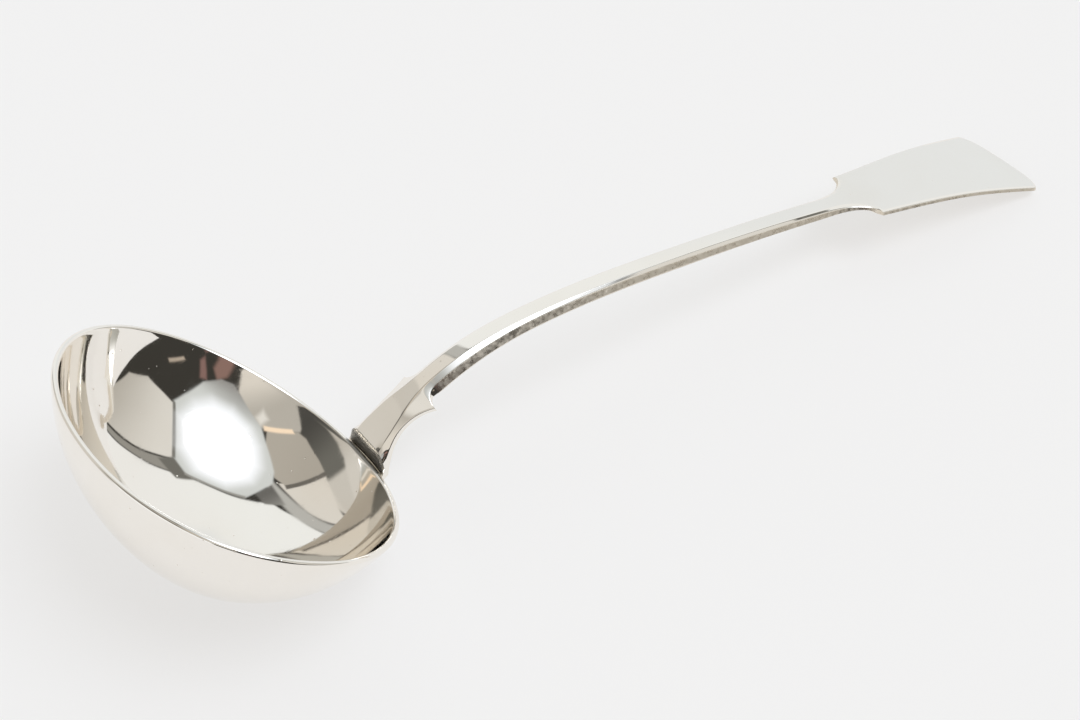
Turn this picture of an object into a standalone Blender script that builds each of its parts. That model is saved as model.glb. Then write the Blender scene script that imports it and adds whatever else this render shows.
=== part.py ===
"""Soup ladle in the fiddle pattern: a raised bowl, a forged handle and the solder that joins them.

Metres, +Z up, the table at z = 0.  The ladle lies as it is put down: the bowl leans
towards the handle and the end of the handle touches the table.  +X runs along the handle.
"""
import math

import bmesh
import bpy
import numpy as np
from mathutils import Vector

MM = 0.001

# Bowl: the rim is an oval, its sides carried a little upwards and forwards
RIM_HALF_LENGTH = 45.6 * MM
RIM_HALF_WIDTH = 52.3 * MM
RIM_SIDE_SET = 6.1 * MM
RIM_SIDE_RISE = 4.2 * MM
RIM_TILT = math.radians(33.75)
BOWL_DEPTH = 32.6 * MM
BOWL_FLARE = 0.42
BOWL_BOTTOM_SET = 2.0 * MM
WALL = 1.2 * MM
LIP = 1.8 * MM
LIP_BLEND = 6.0 * MM
WEAR = 0.15 * MM

# Joint between bowl and handle
FIT_GAP = 0.3 * MM
DROP_LENGTH = 17.0 * MM
DROP_THICKNESS = 2.4 * MM
DROP_TIP_THICKNESS = 1.1 * MM
DROP_TIP_HALF = 0.5 * MM
DROP_TAPER = 1.7
DROP_ROUND = 0.62
DROP_FLAT_SHARE = 0.55
DROP_EDGE_LOSS = 0.45
SOLDER_GAP = 0.15 * MM
SOLDER_LEG = 0.8 * MM
SOLDER_HOLLOW = 0.35
SOLDER_START = 0.12

# Handle, in plan: half widths
FOOT_HALF = 8.8 * MM
WAIST_HALF = 5.9 * MM
FIN_HALF = 7.85 * MM
LOW_STEM_HALF = 3.65 * MM
STEM_HALF = 3.25 * MM
NECK_HALF = 3.5 * MM
SHOULDER_HALF = 11.3 * MM
END_HALF = 17.7 * MM
SWELL_POWER = 2.2
SHOULDER_POWER = 3.0
END_FLARE_POWER = 1.12
END_ROUND_POWER = 0.25

# Handle, along its length: reach in X from the rim
FRONT_REACH = 1.0 * MM
KNEE_REACH = 4.4 * MM
WAIST_REACH = 8.6 * MM
FIN_REACH = 17.0 * MM
NOTCH_LENGTH = 4.2 * MM
CROWN_REACH = 57.0 * MM
NECK_REACH = 164.0 * MM
SHOULDER_REACH = 184.0 * MM
TIP_REACH = 254.2 * MM
END_ARC = 4.6 * MM

# Handle, from the side: rise over the rim, then heights of the top line over the table
FRONT_RISE = 6.6 * MM
KNEE_RISE = 9.8 * MM
WAIST_HEIGHT = 23.45 * MM
FIN_HEIGHT = 28.75 * MM
CROWN_HEIGHT = 36.8 * MM
SHOULDER_HEIGHT = 19.6 * MM
# Bend between two named places: share of the way along, share of the way up or down
RISE_BEND = (0.36, 0.69)
FALL_BEND = (0.43, 0.29)
LOW_FALL_BEND = (0.77, 0.68)
END_BEND = (0.5, 0.38)

# Flat along the top of the handle: half widths; over the end it is an edge bevel short of the outline
FOOT_FLAT = 5.4 * MM
WAIST_FLAT = 4.2 * MM
FIN_FLAT = 2.4 * MM
LOW_STEM_FLAT = 2.15 * MM
STEM_FLAT = 2.3 * MM
NECK_FLAT = 2.5 * MM
END_BEVEL = 1.0 * MM
END_FLAT_SHARE = 0.5

# Bevels beside the flat: how steeply they fall
FOOT_SLOPE = 1.65
WAIST_SLOPE = 0.8
FIN_SLOPE = 0.65
STEM_SLOPE = 0.8
NECK_SLOPE = 0.6
END_SLOPE = 0.16

# Handle sections: thickness in the middle, height of the edge and how far it leans out, roundness underneath
FOOT_THICKNESS = 7.2 * MM
FIN_THICKNESS = 7.2 * MM
LOW_STEM_THICKNESS = 5.9 * MM
STEM_THICKNESS = 5.4 * MM
NECK_THICKNESS = 4.0 * MM
SHOULDER_THICKNESS = 3.1 * MM
TIP_THICKNESS = 2.3 * MM
FOOT_EDGE = 1.5 * MM
FIN_EDGE = 1.1 * MM
LOW_STEM_EDGE = 1.9 * MM
STEM_EDGE = 1.5 * MM
NECK_EDGE = 1.4 * MM
END_EDGE = 0.9 * MM
LOW_STEM_LEAN = 1.35 * MM
STEM_LEAN = 1.05 * MM
NECK_LEAN = 0.9 * MM
END_LEAN = 0.5 * MM
FOOT_BELLY = 1.3
FIN_BELLY = 1.5
STEM_BELLY = 0.9
END_BELLY = 0.9

# Fineness of the faceted bodies
ROUND_STEPS = 88
BOWL_RINGS = 17
LIP_STEPS = 6
FLAT_STEPS = 3
BEVEL_STEPS = 3
DROP_ROWS = 9
FOOT_ROWS = 6
FIN_ROWS = 8
NOTCH_ROWS = 7
STEM_ROWS = 22
NECK_ROWS = 9
END_ROWS = 11
ARC_ROWS = 7
ARC_STOP = 0.94
SOLDER_ROWS = 33

# Angle between faces from which an edge is crisp
ROUND_EDGE = math.radians(40.0)
CRISP_EDGE = math.radians(18.0)

NOTCH_END = FIN_REACH + NOTCH_LENGTH
STEM_MIDDLE = (CROWN_REACH + NECK_REACH) / 2.0
CORNER_REACH = TIP_REACH - END_ARC
FLARE_ANGLE = math.asin(BOWL_FLARE / (1.0 + BOWL_FLARE))
ALONG = np.array([math.cos(RIM_TILT), 0.0, -math.sin(RIM_TILT)])
ACROSS = np.array([0.0, 1.0, 0.0])
UPRIGHT = np.array([math.sin(RIM_TILT), 0.0, math.cos(RIM_TILT)])


def unit(vector):
    return vector / np.linalg.norm(vector)


def bowl_skin(turn, dip):
    """Outside of the bowl before it is set on the table; dip runs from the rim to the bottom."""
    share = math.cos(dip) / math.cos(FLARE_ANGLE)
    depth = math.sin(dip) * (1.0 + BOWL_FLARE) - BOWL_FLARE
    side = 0.5 - 0.5 * math.cos(2.0 * turn)
    along = RIM_HALF_LENGTH * math.cos(turn) - RIM_SIDE_SET * side
    along = share * along + (1.0 - share) * BOWL_BOTTOM_SET
    across = share * RIM_HALF_WIDTH * math.sin(turn)
    upright = (1.0 - depth) * RIM_SIDE_RISE * side - depth * BOWL_DEPTH
    return along * ALONG + across * ACROSS + upright * UPRIGHT


def skin_axes(turn, dip):
    """Directions on the skin: up the wall, and outwards from it."""
    step = 1.0e-4
    dip = min(dip, math.pi / 2.0 - 2.0 * step)
    up = unit(bowl_skin(turn, dip - step) - bowl_skin(turn, dip + step))
    around = unit(bowl_skin(turn + step, dip) - bowl_skin(turn - step, dip))
    return up, unit(np.cross(around, up))


def lowest_skin():
    dips = np.linspace(FLARE_ANGLE, math.pi / 2.0, 241)
    return min(bowl_skin(0.0, dip)[2] for dip in dips)


SET_DOWN = np.array([0.0, 0.0, -WEAR - lowest_skin()])


def skin_point(turn, dip):
    return bowl_skin(turn, dip) + SET_DOWN


FOOT_POINT = skin_point(0.0, FLARE_ANGLE)


def wall_thickness(dip):
    """Sheet thickness, growing to the lip over the last few millimetres under the rim."""
    below = BOWL_DEPTH * (math.sin(dip) - math.sin(FLARE_ANGLE)) * (1.0 + BOWL_FLARE)
    share = max(0.0, 1.0 - below / LIP_BLEND)
    return WALL + (LIP - WALL) * share * share


def bowl_section(turn):
    """One meridian of the bowl: up the outside, over the rounded lip, down the inside."""
    dips = np.linspace(math.pi / 2.0, FLARE_ANGLE, BOWL_RINGS + 1)[1:]
    outside = [skin_point(turn, dip) for dip in dips]
    up, out = skin_axes(turn, FLARE_ANGLE)
    middle = outside[-1] - out * LIP / 2.0
    arcs = np.linspace(0.0, math.pi, LIP_STEPS + 1)[1:-1]
    lip = [middle + (out * math.cos(arc) + up * math.sin(arc)) * LIP / 2.0 for arc in arcs]
    inside = []
    for dip in dips[::-1]:
        inside.append(skin_point(turn, dip) - skin_axes(turn, dip)[1] * wall_thickness(dip))
    return outside + lip + inside


def bowl_mesh():
    points = []
    turns = np.linspace(0.0, 2.0 * math.pi, ROUND_STEPS, endpoint=False)
    for turn in turns:
        points += bowl_section(turn)
    count = len(points) // ROUND_STEPS
    faces = []
    for column in range(ROUND_STEPS):
        here = column * count
        there = (column + 1) % ROUND_STEPS * count
        for row in range(count - 1):
            faces.append((here + row, there + row, there + row + 1, here + row + 1))
    bottom = skin_point(0.0, math.pi / 2.0)
    points += [bottom, bottom + UPRIGHT * WALL]
    under = len(points) - 2
    over = under + 1
    for column in range(ROUND_STEPS):
        here = column * count
        there = (column + 1) % ROUND_STEPS * count
        faces.append((under, there, here))
        faces.append((over, here + count - 1, there + count - 1))
    return points, faces


def spline(knots, values):
    """Natural cubic spline through the knots; gives height and slope."""
    knots = np.array(knots)
    values = np.array(values)
    gaps = np.diff(knots)
    rises = np.diff(values) / gaps
    size = len(knots)
    matrix = np.eye(size)
    right = np.zeros(size)
    for i in range(1, size - 1):
        matrix[i, i - 1:i + 2] = (gaps[i - 1], 2.0 * (gaps[i - 1] + gaps[i]), gaps[i])
        right[i] = 6.0 * (rises[i] - rises[i - 1])
    bend = np.linalg.solve(matrix, right)

    def at(reach):
        i = int(np.clip(np.searchsorted(knots, reach) - 1, 0, size - 2))
        gap = gaps[i]
        left = knots[i + 1] - reach
        ahead = reach - knots[i]
        first = values[i] / gap - bend[i] * gap / 6.0
        second = values[i + 1] / gap - bend[i + 1] * gap / 6.0
        curve = (bend[i] * left ** 3 + bend[i + 1] * ahead ** 3) / (6.0 * gap)
        slope = (bend[i + 1] * ahead ** 2 - bend[i] * left ** 2) / (2.0 * gap) - first + second
        return curve + first * left + second * ahead, slope

    return at


def between(start, end, shares):
    """A knot part of the way from one knot to another."""
    return tuple(a + (b - a) * share for a, b, share in zip(start, end, shares))


def top_line():
    """Top line of the handle from the rim to its end, as seen from the side."""
    fin = (FIN_REACH, FIN_HEIGHT)
    crown = (CROWN_REACH, CROWN_HEIGHT)
    shoulder = (SHOULDER_REACH, SHOULDER_HEIGHT)
    tip = (TIP_REACH, TIP_THICKNESS)
    knots = [
        (FRONT_REACH, FOOT_POINT[2] + FRONT_RISE),
        (KNEE_REACH, FOOT_POINT[2] + KNEE_RISE),
        (WAIST_REACH, WAIST_HEIGHT),
        fin,
        between(fin, crown, RISE_BEND),
        crown,
        between(crown, shoulder, FALL_BEND),
        between(crown, shoulder, LOW_FALL_BEND),
        shoulder,
        between(shoulder, tip, END_BEND),
        tip,
    ]
    return spline([knot[0] for knot in knots], [knot[1] for knot in knots])


def quarter_round(share):
    """Rises from 0 to 1 along a quarter circle, flat at first and steep at the last."""
    return 1.0 - math.sqrt(max(0.0, 1.0 - share * share))


def half_width(reach):
    """Plan of the handle: foot, waist, fins, notch, stem, neck, shoulders and arched end."""
    if reach <= WAIST_REACH:
        share = (WAIST_REACH - reach) / (WAIST_REACH - FRONT_REACH)
        return WAIST_HALF + (FOOT_HALF - WAIST_HALF) * share ** SWELL_POWER
    if reach <= FIN_REACH:
        share = (reach - WAIST_REACH) / (FIN_REACH - WAIST_REACH)
        return WAIST_HALF + (FIN_HALF - WAIST_HALF) * share ** SWELL_POWER
    if reach <= NOTCH_END:
        share = (NOTCH_END - reach) / NOTCH_LENGTH
        return LOW_STEM_HALF + (FIN_HALF - LOW_STEM_HALF) * quarter_round(share)
    if reach <= NECK_REACH:
        stations = (NOTCH_END, CROWN_REACH, STEM_MIDDLE, NECK_REACH)
        return float(np.interp(reach, stations, (LOW_STEM_HALF, STEM_HALF, STEM_HALF, NECK_HALF)))
    if reach <= SHOULDER_REACH:
        share = (reach - NECK_REACH) / (SHOULDER_REACH - NECK_REACH)
        return NECK_HALF + (SHOULDER_HALF - NECK_HALF) * quarter_round(share ** (SHOULDER_POWER / 2.0))
    if reach <= CORNER_REACH:
        share = (reach - SHOULDER_REACH) / (CORNER_REACH - SHOULDER_REACH)
        return SHOULDER_HALF + (END_HALF - SHOULDER_HALF) * share ** END_FLARE_POWER
    share = (reach - CORNER_REACH) / END_ARC
    return END_HALF * (1.0 - share ** SWELL_POWER) ** END_ROUND_POWER


def flat_half(reach, half):
    """Half width of the flat between the bevels; over the end the flat fills the outline."""
    stations = (FRONT_REACH, WAIST_REACH, FIN_REACH, NOTCH_END, CROWN_REACH, STEM_MIDDLE, NECK_REACH)
    sizes = (FOOT_FLAT, WAIST_FLAT, FIN_FLAT, LOW_STEM_FLAT, STEM_FLAT, STEM_FLAT, NECK_FLAT)
    flat = float(np.interp(reach, stations, sizes))
    blend = float(np.interp(reach, (NECK_REACH, SHOULDER_REACH), (0.0, 1.0)))
    over_end = max(half - END_BEVEL, END_FLAT_SHARE * half)
    return flat * (1.0 - blend) + over_end * blend


def bevel_slope(reach):
    stations = (FRONT_REACH, WAIST_REACH, FIN_REACH, NOTCH_END, STEM_MIDDLE, NECK_REACH, SHOULDER_REACH)
    slopes = (FOOT_SLOPE, WAIST_SLOPE, FIN_SLOPE, STEM_SLOPE, STEM_SLOPE, NECK_SLOPE, END_SLOPE)
    return float(np.interp(reach, stations, slopes))


def thickness(reach):
    stations = (FRONT_REACH, FIN_REACH, CROWN_REACH, STEM_MIDDLE, NECK_REACH, SHOULDER_REACH, TIP_REACH)
    sizes = (FOOT_THICKNESS, FIN_THICKNESS, LOW_STEM_THICKNESS, STEM_THICKNESS,
             NECK_THICKNESS, SHOULDER_THICKNESS, TIP_THICKNESS)
    return float(np.interp(reach, stations, sizes))


def edge_and_belly(reach):
    """Height of the edge under the bevel, how far it leans out, and how round the underside is."""
    stations = (FRONT_REACH, FIN_REACH, NOTCH_END, STEM_MIDDLE, NECK_REACH, SHOULDER_REACH)
    edges = (FOOT_EDGE, FIN_EDGE, LOW_STEM_EDGE, STEM_EDGE, NECK_EDGE, END_EDGE)
    leans = (0.0, 0.0, LOW_STEM_LEAN, STEM_LEAN, NECK_LEAN, END_LEAN)
    bellies = (FOOT_BELLY, FIN_BELLY, STEM_BELLY, STEM_BELLY, STEM_BELLY, END_BELLY)
    return tuple(float(np.interp(reach, stations, sizes)) for sizes in (edges, leans, bellies))


def columns(half, flat):
    """Distances from the middle across one side of a section, out to the edge."""
    inner = [flat * i / FLAT_STEPS for i in range(FLAT_STEPS + 1)]
    outer = [flat + (half - flat) * i / BEVEL_STEPS for i in range(1, BEVEL_STEPS + 1)]
    return inner + outer


def mirrored(side):
    """Points from one edge over the middle to the other, from those of the near half."""
    far = [np.array((point[0], -point[1], point[2])) for point in side[:0:-1]]
    return far + side


def stem_section(reach, line):
    """Top and underside of the handle; at the front of the foot the top is an upright arch."""
    height, slope = line(reach)
    out = unit(np.array((-slope, 0.0, 1.0)))
    lean = float(np.interp(reach, (FRONT_REACH, WAIST_REACH), (0.0, 1.0)))
    sink = unit(np.array((-slope * lean, 0.0, 1.0)))
    middle = np.array((FOOT_POINT[0] + reach, 0.0, height))
    half = half_width(reach)
    flat = flat_half(reach, half)
    fall = bevel_slope(reach) * (half - flat)
    edge, spread, roundness = edge_and_belly(reach)
    belly = max(0.0, thickness(reach) - fall - edge)
    edge_middle = middle - sink * fall
    top, under = [], []
    for across in columns(half, flat):
        share = min(1.0, across / half)
        bevel = bevel_slope(reach) * max(0.0, across - flat)
        drop = bevel * lean + fall * quarter_round(share) * (1.0 - lean)
        top.append(middle - sink * drop + ACROSS * across)
        depth = edge + belly * (1.0 - share * share) ** roundness
        under.append(edge_middle - out * depth + ACROSS * (across + spread * share))
    return mirrored(top), mirrored(under)


DROP_DIPS = np.linspace(FLARE_ANGLE, math.pi / 2.0, 121)
DROP_LINE = np.array([bowl_skin(0.0, dip) for dip in DROP_DIPS])
DROP_WALK = np.concatenate(([0.0], np.cumsum(np.linalg.norm(np.diff(DROP_LINE, axis=0), axis=1))))


def back_place(across, walk):
    """Turn and dip on the back of the bowl, from distances across and down from the rim."""
    dip = float(np.interp(walk, DROP_WALK, DROP_DIPS))
    radius = RIM_HALF_WIDTH * math.cos(dip) / math.cos(FLARE_ANGLE)
    return math.asin(across / radius), dip


def drop_half(walk):
    """Outline of the tongue that laps the back of the bowl."""
    share = min(1.0, walk / DROP_LENGTH)
    return FOOT_HALF * (1.0 - share ** DROP_TAPER) ** DROP_ROUND


def drop_section(walk, rise=0.0):
    """Inner and outer face of the tongue, a fit gap off the bowl."""
    half = max(drop_half(walk), DROP_TIP_HALF)
    thick = float(np.interp(walk, (0.0, DROP_LENGTH), (DROP_THICKNESS, DROP_TIP_THICKNESS)))
    inner, outer = [], []
    for across in columns(half, DROP_FLAT_SHARE * half):
        turn, dip = back_place(across, walk)
        up, out = skin_axes(turn, dip)
        base = skin_point(turn, dip) + out * FIT_GAP + up * rise
        share = across / half
        inner.append(base)
        outer.append(base + out * thick * (1.0 - DROP_EDGE_LOSS * share ** 4))
    return mirrored(inner), mirrored(outer)


def handle_reaches():
    """Where sections are taken: close together wherever the outline turns."""
    quarter = math.pi / 2.0
    notch = 1.0 - np.cos(np.linspace(0.0, quarter, NOTCH_ROWS))
    neck = np.sin(np.linspace(0.0, quarter, NECK_ROWS))
    arc = np.sin(np.linspace(0.0, ARC_STOP * quarter, ARC_ROWS))
    spans = [
        np.linspace(FRONT_REACH, WAIST_REACH, FOOT_ROWS),
        np.linspace(WAIST_REACH, FIN_REACH, FIN_ROWS)[1:],
        FIN_REACH + NOTCH_LENGTH * notch[1:],
        np.linspace(NOTCH_END, NECK_REACH, STEM_ROWS)[1:],
        NECK_REACH + (SHOULDER_REACH - NECK_REACH) * neck[1:],
        np.linspace(SHOULDER_REACH, CORNER_REACH, END_ROWS)[1:],
        CORNER_REACH + END_ARC * arc[1:],
    ]
    return np.concatenate(spans)


def loft(rings):
    """Closed skin over rings of as many points each, with a face over each end."""
    count = len(rings[0])
    points = [point for ring in rings for point in ring]
    faces = []
    for row in range(len(rings) - 1):
        here = row * count
        there = here + count
        for i in range(count):
            ahead = (i + 1) % count
            faces.append((here + i, there + i, there + ahead, here + ahead))
    last = len(points) - count
    faces.append(tuple(range(count)))
    faces.append(tuple(last + i for i in reversed(range(count))))
    return points, faces


def handle_mesh():
    """The handle as one skin: tongue, foot, fins, stem and end share the same columns."""
    line = top_line()
    walks = DROP_LENGTH * np.sin(np.linspace(math.pi / 2.0, 0.0, DROP_ROWS))
    sections = [drop_section(walk) for walk in walks]
    sections.append(drop_section(0.0, LIP / 2.0))
    sections += [stem_section(reach, line) for reach in handle_reaches()]
    return loft([top + under[::-1] for top, under in sections])


def solder_path():
    """Outline of the tongue from one side of the foot round to the other."""
    path = []
    for angle in np.linspace(SOLDER_START, math.pi - SOLDER_START, SOLDER_ROWS):
        walk = DROP_LENGTH * math.sin(angle)
        side = 1.0 if angle < math.pi / 2.0 else -1.0
        path.append((side * drop_half(walk), walk))
    return np.array(path)


def solder_mesh():
    """Hollow fillet of hard solder round the edge of the tongue."""
    path = solder_path()
    corners = ((1.0, 0.0), (SOLDER_HOLLOW, SOLDER_HOLLOW), (0.0, 1.0), (0.0, 0.0))
    rings = []
    for (across, walk), step in zip(path, np.gradient(path, axis=0)):
        side = unit(np.array((step[1], -step[0])))
        ring = []
        for out_share, up_share in corners:
            away = 2.0 * SOLDER_GAP + SOLDER_LEG * out_share
            turn, dip = back_place(across + side[0] * away, max(0.0, walk + side[1] * away))
            lift = SOLDER_GAP + SOLDER_LEG * up_share
            ring.append(skin_point(turn, dip) + skin_axes(turn, dip)[1] * lift)
        rings.append(ring)
    return loft(rings)


def silver(name, colour, roughness):
    material = bpy.data.materials.new(name)
    material.use_nodes = True
    shader = material.node_tree.nodes["Principled BSDF"]
    shader.inputs["Base Color"].default_value = (*colour, 1.0)
    shader.inputs["Metallic"].default_value = 1.0
    shader.inputs["Roughness"].default_value = roughness
    return material


def body(name, mesh_parts, shift, material, sharp):
    """A named object from points and faces, facing out, smooth but for its crisp edges."""
    points, faces = mesh_parts
    mesh = bpy.data.meshes.new(name)
    mesh.from_pydata([Vector(point - shift) for point in points], [], faces)
    work = bmesh.new()
    work.from_mesh(mesh)
    bmesh.ops.remove_doubles(work, verts=work.verts, dist=1.0e-6)
    bmesh.ops.recalc_face_normals(work, faces=work.faces)
    work.to_mesh(mesh)
    work.free()
    mesh.shade_smooth()
    mesh.set_sharp_from_angle(angle=sharp)
    mesh.materials.append(material)
    made = bpy.data.objects.new(name, mesh)
    bpy.context.collection.objects.link(made)
    return made


def wear_flat(bowl, shift):
    """Cut the worn place where the bowl stands, flat on the table."""
    size = 4.0 * max(RIM_HALF_WIDTH, RIM_HALF_LENGTH, BOWL_DEPTH)
    mesh = bpy.data.meshes.new("table_cutter")
    work = bmesh.new()
    bmesh.ops.create_cube(work, size=size)
    work.to_mesh(mesh)
    work.free()
    cutter = bpy.data.objects.new("table_cutter", mesh)
    bpy.context.collection.objects.link(cutter)
    cutter.location = (-shift[0], 0.0, -size / 2.0)
    cutter.hide_render = True
    cutter.display_type = "WIRE"
    cut = bowl.modifiers.new("worn_flat", "BOOLEAN")
    cut.operation = "DIFFERENCE"
    cut.solver = "EXACT"
    cut.object = cutter


def build():
    for old in list(bpy.data.objects):
        bpy.data.objects.remove(old, do_unlink=True)
    bowl = bowl_mesh()
    handle = handle_mesh()
    reach = [point[0] for point in bowl[0] + handle[0]]
    shift = np.array(((min(reach) + max(reach)) / 2.0, 0.0, 0.0))
    bowl_silver = silver("bowl_silver", (0.92, 0.89, 0.85), 0.08)
    handle_silver = silver("handle_silver", (0.91, 0.89, 0.85), 0.12)
    solder_silver = silver("solder_silver", (0.86, 0.84, 0.79), 0.25)
    wear_flat(body("bowl", bowl, shift, bowl_silver, ROUND_EDGE), shift)
    body("handle", handle, shift, handle_silver, CRISP_EDGE)
    body("solder_fillet", solder_mesh(), shift, solder_silver, ROUND_EDGE)


build()
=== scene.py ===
"""Looks of the soup ladle: fine silver skins in place of the solids, on a white table in a photo studio."""
import math

import bmesh
import bpy
import numpy as np
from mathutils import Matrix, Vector


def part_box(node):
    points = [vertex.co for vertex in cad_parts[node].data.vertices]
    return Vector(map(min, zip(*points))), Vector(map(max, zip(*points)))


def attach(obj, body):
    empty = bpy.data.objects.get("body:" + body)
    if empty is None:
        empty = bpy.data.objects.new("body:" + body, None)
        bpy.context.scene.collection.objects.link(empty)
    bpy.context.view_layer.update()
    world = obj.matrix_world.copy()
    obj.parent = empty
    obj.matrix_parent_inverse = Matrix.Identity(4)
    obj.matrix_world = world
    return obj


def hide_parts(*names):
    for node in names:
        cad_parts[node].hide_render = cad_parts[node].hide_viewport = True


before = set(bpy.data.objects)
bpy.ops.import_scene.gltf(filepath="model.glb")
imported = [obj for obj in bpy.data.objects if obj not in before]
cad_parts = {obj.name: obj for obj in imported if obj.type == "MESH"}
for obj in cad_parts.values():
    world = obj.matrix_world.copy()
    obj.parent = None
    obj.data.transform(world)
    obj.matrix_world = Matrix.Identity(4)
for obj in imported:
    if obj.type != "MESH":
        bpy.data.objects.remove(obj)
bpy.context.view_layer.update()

MM = 0.001

# Bowl, as in the solids: an oval rim whose sides are carried up and forwards, tilted on the table
RIM_HALF_LENGTH = 45.6 * MM
RIM_HALF_WIDTH = 52.3 * MM
RIM_SIDE_SET = 6.1 * MM
RIM_SIDE_RISE = 4.2 * MM
RIM_TILT = math.radians(33.75)
BOWL_DEPTH = 32.6 * MM
BOWL_FLARE = 0.42
BOWL_BOTTOM_SET = 2.0 * MM
WALL = 1.8 * MM
WEAR = 0.15 * MM

# Tongue on the back of the bowl, drawn up to the metal as solder leaves it
FIT_GAP = 0.05 * MM
DROP_LENGTH = 17.0 * MM
DROP_THICKNESS = 2.4 * MM
DROP_TIP_THICKNESS = 1.1 * MM
DROP_TIP_HALF = 0.5 * MM
DROP_TAPER = 1.7
DROP_ROUND = 0.62
DROP_FLAT_SHARE = 0.55
DROP_EDGE_LOSS = 0.45
DROP_EDGE_POWER = 4
SOLDER_LEG = 0.9 * MM
SOLDER_ROOT = 0.3
SOLDER_START = 0.05

# Handle: reach from the rim, half widths in plan, and heights of the top line
FRONT_REACH = 1.0 * MM
KNEE_REACH = 4.4 * MM
WAIST_REACH = 8.6 * MM
FIN_REACH = 17.0 * MM
NOTCH_LENGTH = 4.2 * MM
CROWN_REACH = 57.0 * MM
NECK_REACH = 164.0 * MM
SHOULDER_REACH = 184.0 * MM
TIP_REACH = 254.2 * MM
END_ARC = 4.6 * MM
FOOT_HALF = 8.8 * MM
WAIST_HALF = 5.9 * MM
FIN_HALF = 7.85 * MM
LOW_STEM_HALF = 3.65 * MM
STEM_HALF = 3.25 * MM
NECK_HALF = 3.5 * MM
SHOULDER_HALF = 11.3 * MM
END_HALF = 17.7 * MM
SWELL_POWER = 2.2
SHOULDER_POWER = 3.0
END_FLARE_POWER = 1.12
END_ROUND_POWER = 0.25
ARCH_FLAT = 0.45
FRONT_RISE = 7.2 * MM
KNEE_RISE = 9.8 * MM
WAIST_HEIGHT = 23.45 * MM
FIN_HEIGHT = 28.75 * MM
CROWN_HEIGHT = 36.8 * MM
SHOULDER_HEIGHT = 19.6 * MM
TIP_HEIGHT = 2.3 * MM
RISE_BEND = (0.36, 0.69)
FALL_BEND = (0.43, 0.29)
LOW_FALL_BEND = (0.77, 0.68)
END_BEND = (0.5, 0.38)
NOTCH_END = FIN_REACH + NOTCH_LENGTH
STEM_MIDDLE = (CROWN_REACH + NECK_REACH) / 2.0
CORNER_REACH = TIP_REACH - END_ARC

# Sections of the handle at named places along it: sizes, in the order of the places
FLAT_PLACES = (FRONT_REACH, WAIST_REACH, FIN_REACH, NOTCH_END, CROWN_REACH, STEM_MIDDLE, NECK_REACH)
FLAT_HALVES = tuple(size * MM for size in (5.4, 4.2, 2.4, 2.15, 2.3, 2.3, 2.5))
END_BEVEL = 1.0 * MM
END_FLAT_SHARE = 0.5
SLOPE_PLACES = (FRONT_REACH, KNEE_REACH, WAIST_REACH, FIN_REACH, NOTCH_END, STEM_MIDDLE, NECK_REACH,
                SHOULDER_REACH)
SLOPES = (1.65, 0.95, 0.75, 0.65, 0.8, 0.8, 0.6, 0.16)
DEEP_PLACES = (FRONT_REACH, FIN_REACH, CROWN_REACH, STEM_MIDDLE, NECK_REACH, SHOULDER_REACH, TIP_REACH)
DEPTHS = tuple(size * MM for size in (7.2, 7.2, 5.9, 5.4, 4.0, 3.1, 2.3))
EDGE_PLACES = (FRONT_REACH, FIN_REACH, NOTCH_END, STEM_MIDDLE, NECK_REACH, SHOULDER_REACH)
EDGES = tuple(size * MM for size in (1.5, 1.1, 1.9, 1.5, 1.4, 0.9))
LEANS = tuple(size * MM for size in (0.0, 0.0, 1.35, 0.95, 0.82, 0.5))
BELLIES = (1.3, 1.5, 0.9, 0.9, 0.9, 0.9)
FLAT_CROWN = 0.05 * MM
RIDGE_ROUND = 0.22 * MM
EDGE_ROUND = 0.3 * MM
ROUND_SHARE = 0.45

# Fineness of the skins, how close points are welded, and the angles from which edges stay crisp
BOWL_TURNS = 320
BOWL_RINGS = 72
LIP_STEPS = 16
SOLDER_ROWS = 121
SOLDER_STEPS = 5
CORNER_STEPS = 6
FLAT_STEPS = 9
BEVEL_STEPS = 7
WALL_STEPS = 4
BELLY_STEPS = 16
WALK_STEPS = 240
PLACE_STEPS = 360
RISE_ROWS = 2
DROP_ROWS = 34
FRONT_ROWS = 7
FOOT_ROWS = 30
FIN_ROWS = 34
NOTCH_ROWS = 22
STEM_ROWS = 130
NECK_ROWS = 40
END_ROWS = 50
ARC_ROWS = 22
ARC_STOP = 0.94
WELD = 0.0001 * MM
BOWL_CRISP = math.radians(50.0)
HANDLE_CRISP = math.radians(35.0)
SOLDER_CRISP = math.radians(60.0)

# Marks of the planishing hammer: wave lengths with their shares, and how deep they are
HAMMER_WAVES = ((31.0 * MM, 1.0), (23.0 * MM, 0.7), (17.0 * MM, 0.5), (13.0 * MM, 0.4), (9.0 * MM, 0.25))
GOLDEN_ANGLE = math.radians(137.5)
HAMMER_INSIDE = 0.012 * MM
HAMMER_OUTSIDE = 0.016 * MM

FLARE_ANGLE = math.asin(BOWL_FLARE / (1.0 + BOWL_FLARE))
QUARTER = math.pi / 2.0
ALONG = np.array([math.cos(RIM_TILT), 0.0, -math.sin(RIM_TILT)])
ACROSS = np.array([0.0, 1.0, 0.0])
UPRIGHT = np.array([math.sin(RIM_TILT), 0.0, math.cos(RIM_TILT)])


def unit(vectors):
    return vectors / np.linalg.norm(vectors, axis=-1, keepdims=True)


def spread(values):
    """Adds an axis, so that a number multiplies a vector at each point."""
    return np.asarray(values)[..., None]


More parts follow.
